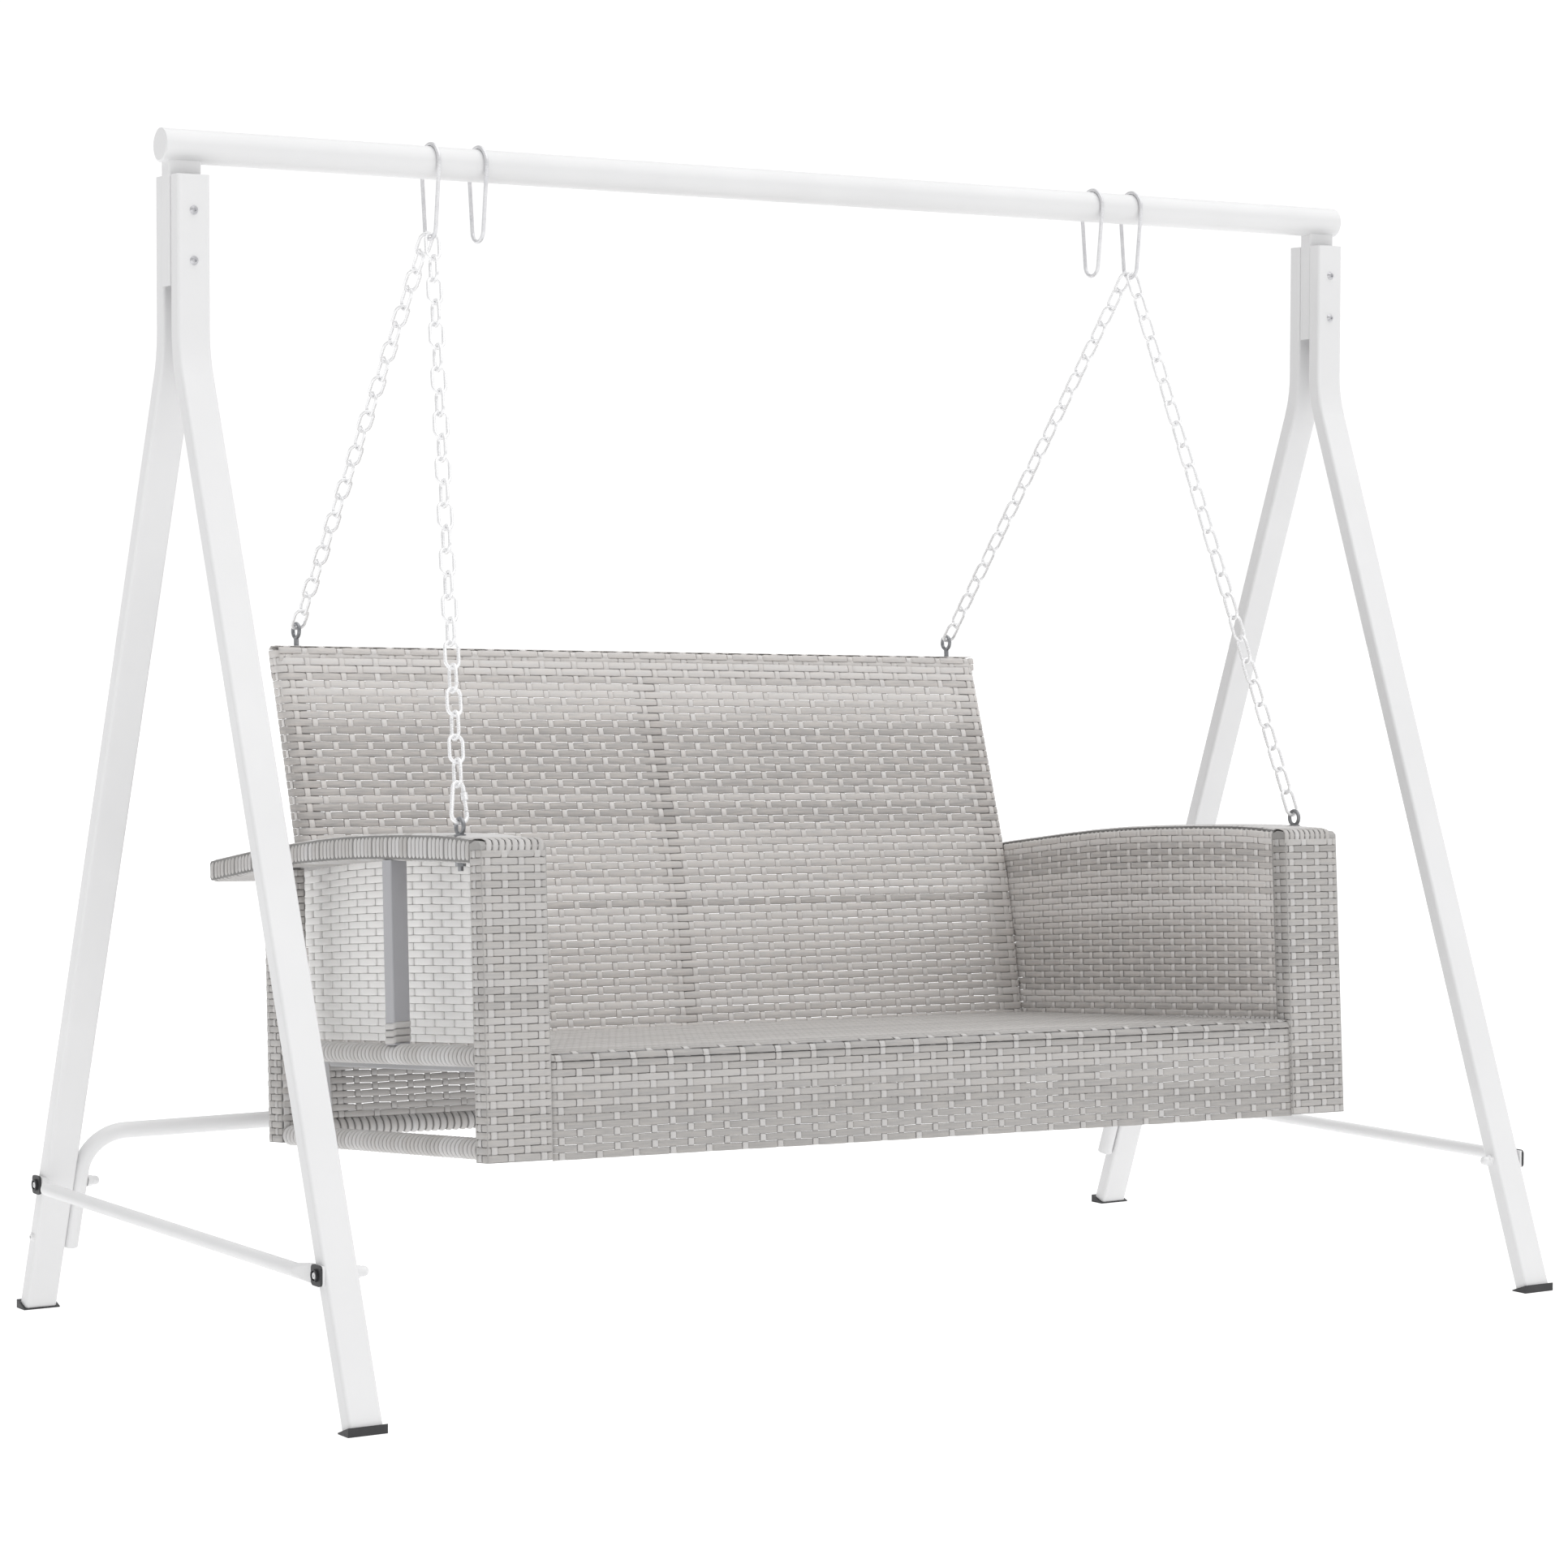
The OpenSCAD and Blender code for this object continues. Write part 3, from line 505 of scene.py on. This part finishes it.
# the rows that roll over the top rail
def top_surf(a, b):
    # b runs up the front lip, over the rail and down its back
    b = np.asarray(b, float)
    r = 9.0
    w_top = 767.0
    v0 = bv(750) + 1.0
    v1 = bv(750) + 35.0
    f = 14.0
    q = r * math.pi / 2
    flat = v1 - v0 - 2 * r
    seg = [f, q, flat, q, 40.0]
    cum = np.cumsum([0] + seg)
    t = [np.clip(b - cum[i], 0, seg[i]) for i in range(5)]
    t[0] = t[0] + np.minimum(b, 0)
    t[4] = t[4] + np.maximum(b - cum[5], 0)
    w = (w_top - r - f) + t[0]
    v = np.full_like(b, v0)
    a1 = t[1] / r
    v = v + r * (1 - np.cos(a1)); w = w + r * np.sin(a1)
    v = v + t[2]
    a2 = t[3] / r
    v = v + r * np.sin(a2); w = w - r * (1 - np.cos(a2))
    w = w - t[4]
    v = v - t[4] * 0.22
    return np.stack([np.asarray(a, float) + 0 * b, v, w], -1)
weave("back_top_roll", top_surf, -661.0, 661.0, 0.0, 14 + 9 * math.pi + 16 + 40, seed=12, row=11.0, narrow=0.05, flip=1.0, tone_lo=0.3, tone_hi=0.62,
      mat="wicker_back_painted_brighter")

# seat: rows run left to right, the front edge rolls down into the apron
def seat_surf(a, b):
    a = np.asarray(a, float); b = np.asarray(b, float)
    r = 12.0
    q = r * math.pi / 2
    ang = np.clip((q - b) / r, 0, math.pi / 2)
    v = np.where(b < q, 3 + r - r * np.sin(ang), 3 + r + (b - q))
    w = np.where(b < q, seat_z(15) - r * (1 - np.cos(ang)), seat_z(np.maximum(v, 3)))
    down = np.minimum(b, 0)
    return np.stack([a + 0 * b, v, w + down], -1)
weave("seat_weave_cloth", seat_surf, -659.3, 659.3, 0.0, 12 * math.pi / 2 + 690, seed=21, narrow=0.06, replaces=("seat_weave",), flip=1.0, tone_lo=0.0, tone_hi=0.45)

# front apron
def apron_surf(a, b):
    a = np.asarray(a, float); b = np.asarray(b, float)
    return np.stack([a + 0 * b, np.full_like(a + b, 4.0), b - 2.0], -1)
weave("front_apron_cloth", apron_surf, -657.0, 657.0, 0.0, 136.0, seed=31, narrow=0.06, amp=0.85, replaces=("front_apron",), flip=1.0, tone_lo=0.05, tone_hi=0.55)

# rear apron under the backrest, pale on its inner side
def rear_surf(a, b):
    a = np.asarray(a, float); b = np.asarray(b, float)
    w = 37 + b
    return np.stack([a + 0 * b, bv(w) + 2 + 0 * a, w], -1)
weave("rear_apron_cloth", rear_surf, -652.0, 652.0, 0.0, 113.0, seed=41, narrow=0.2, replaces=("rear_apron",), flip=1.0, tone_lo=0.35, tone_hi=0.6)

# arms
ARM_UP = np.array([[33.2, 443], [80, 448], [140, 452], [234, 455.5], [330, 457.5], [419, 458], [500, 456.5], [585, 453], [660, 449], [737, 445], [820, 439], [884, 434]], float)
ARM_DN = np.array([[33.2, 412], [130, 417], [220, 420.5], [310, 424], [400, 425.5], [479, 425.5], [571, 424], [650, 420.5], [730, 416], [800, 411], [884, 404]], float)
def smooth_interp(x, tab):
    x = np.asarray(x, float)
    e = 22.0
    return (np.interp(x - e, tab[:, 0], tab[:, 1]) + 2 * np.interp(x, tab[:, 0], tab[:, 1]) + np.interp(x + e, tab[:, 0], tab[:, 1])) / 4
for s, side in ((-1, "left"), (1, "right")):
    # front post: woven sleeve
    surf, total = perimeter_surface(s * 709.0, 16.5, 102.0, 33.0, 6.0, 0.0)
    weave(f"{side}_front_post_cloth", surf, 0.0, total, 1.0, 428.0, seed=51 + s, warp=25.5, narrow=0.05, amp=0.8, lift=0.9, fine=6.0, tone_lo=0.05, tone_hi=0.5)
    # cap of the post: strands folded over its top edge
    def cap_out(pos, s=s):
        pts = []; nr = []
        for k, (v, w) in enumerate([(0.6, 421), (0.2, 430), (2.4, 436.5), (8, 440.2), (20, 442.6), (33, 443.2)]):
            pts.append((0, v, w));
        p = np.array(pts, float)
        d = np.gradient(p, axis=0)
        n = np.stack([np.zeros(len(p)), -d[:, 2], d[:, 1]], -1)
        n /= np.linalg.norm(n, axis=1, keepdims=True)
        return p, n
    wrap(f"{side}_post_top_fold", lambda t, s=s: np.array([s * t, 0.0, 0.0]), lambda t: np.array([1.0, 0, 0]), cap_out, 658.5, 759.5,
         pitch=10.2, width=9.6, th=1.6, seed=61 + s, lift=0.6, tone=(0.35, 0.7))
    # arm top: strand wound round the arm, in groups
    def arm_path(t, s=s):
        up, dn = float(smooth_interp(t, ARM_UP)), float(smooth_interp(t, ARM_DN))
        return np.array([s * 711.25, t, (up + dn) / 2])
    def arm_tan(t):
        e = 8.0
        z1 = float(smooth_interp(t + e, ARM_UP)); z0 = float(smooth_interp(t - e, ARM_UP))
        d = np.array([0.0, 2 * e, (z1 - z0)])
        return d / np.linalg.norm(d)
    def arm_out(t, s=s):
        up, dn = float(smooth_interp(t, ARM_UP)), float(smooth_interp(t, ARM_DN))
        p2, n2 = rounded_rect(97.5, up - dn, 9.0, 5)
        crown = 1.6 * (1 - (p2[:, 0] / 48.75) ** 2) * np.sign(np.maximum(p2[:, 1], 0))
        p = np.stack([p2[:, 0], np.zeros(len(p2)), p2[:, 1] + crown], -1)
        p = np.concatenate([p, p[:1]]); n = np.stack([n2[:, 0], np.zeros(len(n2)), n2[:, 1]], -1); n = np.concatenate([n, n[:1]])
        return p, n
    wrap(f"{side}_arm_winding", arm_path, arm_tan, arm_out, 34.0, 884.0, pitch=11.6, width=10.6, th=2.6, seed=71 + s, lift=-0.6,
         groups=2.8, tone=(0.5, 0.98))
    # inner arm panel: rows follow the arm's curve up to its top edge; the pale reverse stops under the arm
    def arm_panel(a, b, s=s, u=660.3, tab=ARM_UP, top=4.2, full=302.0, foot=151.0):
        a = np.asarray(a, float); b = np.asarray(b, float)
        k = (smooth_interp(a, tab) - top - foot) / full
        w = foot + b * (k * (b / full) + (1 - b / full))
        return np.stack([np.full_like(a + b, s * u), a + 0 * b, w], -1)
    def in_arm(a, b, f=arm_panel, past=8.0):
        return a < bv(f(a, b)[..., 2]) + past
    weave(f"{side}_arm_panel_cloth", arm_panel, 33.5, 800.0, 0.0, 302.0, seed=81 + s, warp=27.5, narrow=0.08, clip=in_arm, amp=0.9,
          flip=float(-s), replaces=(f"{side}_arm_panel",), fine=4.0, tone_lo=0.05, tone_hi=0.66, mat="wicker_arm_painted_brighter")
    def arm_back(a, b, f=arm_panel):
        return f(a, b, u=669.6, tab=ARM_DN, top=0.4, full=267.0, foot=158.0)
    bricks(f"{side}_arm_panel_reverse", arm_back, 33.5, 800.0, 0.0, 267.0, flip=float(s), seed=91 + s,
           clip=lambda a, b, f=arm_back: a < bv(f(a, b)[..., 2]) + 14)
    # rear column: woven sleeve
    surf, total = perimeter_surface(s * 737.5, 667.5, 45.0, 45.0, 6.0, 7.0)
    weave(f"{side}_rear_column_cloth", surf, 0.0, total, 1.0, 409.0, seed=101 + s, warp=22.0, narrow=0.05, amp=0.8, lift=0.9, fine=6.0)
    # wound rails
    def circle_out(t, r=12.5):
        a = np.linspace(0, 2 * math.pi, 19)
        n = np.stack([np.cos(a), np.zeros(19), np.sin(a)], -1)
        return n * r, n
    for nm, z in (("mid", 145.0), ("bottom", 18.0)):
        wrap(f"{side}_{nm}_rail_winding", lambda t, s=s, z=z: np.array([s * 747.0, t, z]), lambda t: np.array([0.0, 1.0, 0.0]),
             circle_out, 33.5, 644.5, seed=111 + s + int(z), lift=-0.4, tone=(0.5, 0.9))
    # strand lashing where the brace meets the mid rail
    def brace_out(t):
        p2, n2 = rounded_rect(26, 28, 3.0, 4)
        p = np.stack([p2[:, 0], p2[:, 1], np.zeros(len(p2))], -1); n = np.stack([n2[:, 0], n2[:, 1], np.zeros(len(n2))], -1)
        return np.concatenate([p, p[:1]]), np.concatenate([n, n[:1]])
    wrap(f"{side}_brace_lashing", lambda t, s=s: np.array([s * 747.0, 285.0, t]), lambda t: np.array([0.0, 0, 1.0]), brace_out,
         159.0, 190.0, pitch=10.2, width=9.7, th=1.6, seed=121 + s, lift=0.0, tone=(0.45, 0.75))

def rail_x_out(t, r=12.5):
    a = np.linspace(0, 2 * math.pi, 19)
    n = np.stack([np.zeros(19), np.cos(a), np.sin(a)], -1)
    return n * r, n
zc = 24.0
wrap("back_bottom_rail_winding", lambda t: np.array([t, float(bv(zc)) + 12.5, zc]), lambda t: np.array([1.0, 0, 0]), rail_x_out,
     -653.0, 653.0, seed=131, lift=-0.2, tone=(0.4, 0.8))

# the woven skins behind the winding are coloured dark as painted shade for the gaps between the strands; the front
# posts get a lighter copy of this painted shade
M["gap_painted_shade"] = mat_plastic("wicker_backing", (0.26, 0.255, 0.25), (0.19, 0.186, 0.18), 0.6, 300.0)
M["backing_light"] = mat_plastic("wicker_backing_light", (0.40, 0.39, 0.38), (0.33, 0.322, 0.314), 0.6, 300.0)
node_material(["left_front_post", "right_front_post"], "backing_light")
node_material(["left_arm_top", "right_arm_top", "left_rear_column", "right_rear_column",
               "side_mid_rails", "side_bottom_rails", "back_bottom_rail"], "gap_painted_shade")

# ------------------------------------------------------------------ stage and light
def stage_floor():
    me = bpy.data.meshes.new("studio_floor")
    me.from_pydata([(-60, -60, 0), (60, -60, 0), (60, 60, 0), (-60, 60, 0)], [], [(0, 1, 2, 3)])
    o = bpy.data.objects.new("studio_floor", me)
    bpy.context.scene.collection.objects.link(o)
    m, nt, b = new_mat("studio_floor")
    v = object_vec(nt)
    nt.links.new(ramp(nt, noise(nt, v, 0.6, 2.0), [(0.3, (0.36, 0.36, 0.36)), (0.7, (0.38, 0.38, 0.38))]), b.inputs["Base Color"])
    b.inputs["Roughness"].default_value = 0.9
    b.inputs["Specular IOR Level"].default_value = 0.1
    b.inputs["Emission Color"].default_value = (1, 1, 1, 1)
    b.inputs["Emission Strength"].default_value = 0.84
    assign(o, m)

stage_floor()
sun = bpy.data.lights.new("overhead_softbox", "SUN")
sun.energy = 1.75
sun.angle = math.radians(85)
sun_ob = bpy.data.objects.new("overhead_softbox", sun)
bpy.context.scene.collection.objects.link(sun_ob)
sun_ob.rotation_mode = "QUATERNION"
sun_ob.rotation_quaternion = Vector((-0.25, 0.24, -0.94)).to_track_quat("-Z", "Y")

# white wall of light behind the swing, a dimmer room around it
world = bpy.data.worlds.new("studio")
bpy.context.scene.world = world
world.use_nodes = True
wt = world.node_tree
tc = wt.nodes.new("ShaderNodeTexCoord")
dot = wt.nodes.new("ShaderNodeVectorMath")
dot.operation = "DOT_PRODUCT"
dot.inputs[1].default_value = (0.54, 0.84, 0.0)
wt.links.new(tc.outputs["Generated"], dot.inputs[0])
wt.links.new(map_range(wt, dot.outputs["Value"], 0.55, 0.88, 0.58, 1.06), wt.nodes["Background"].inputs[1])
wt.nodes["Background"].inputs[0].default_value = (1, 1, 1, 1)
bpy.context.scene.view_settings.view_transform = "Standard"
bpy.context.scene.view_settings.look = "None"
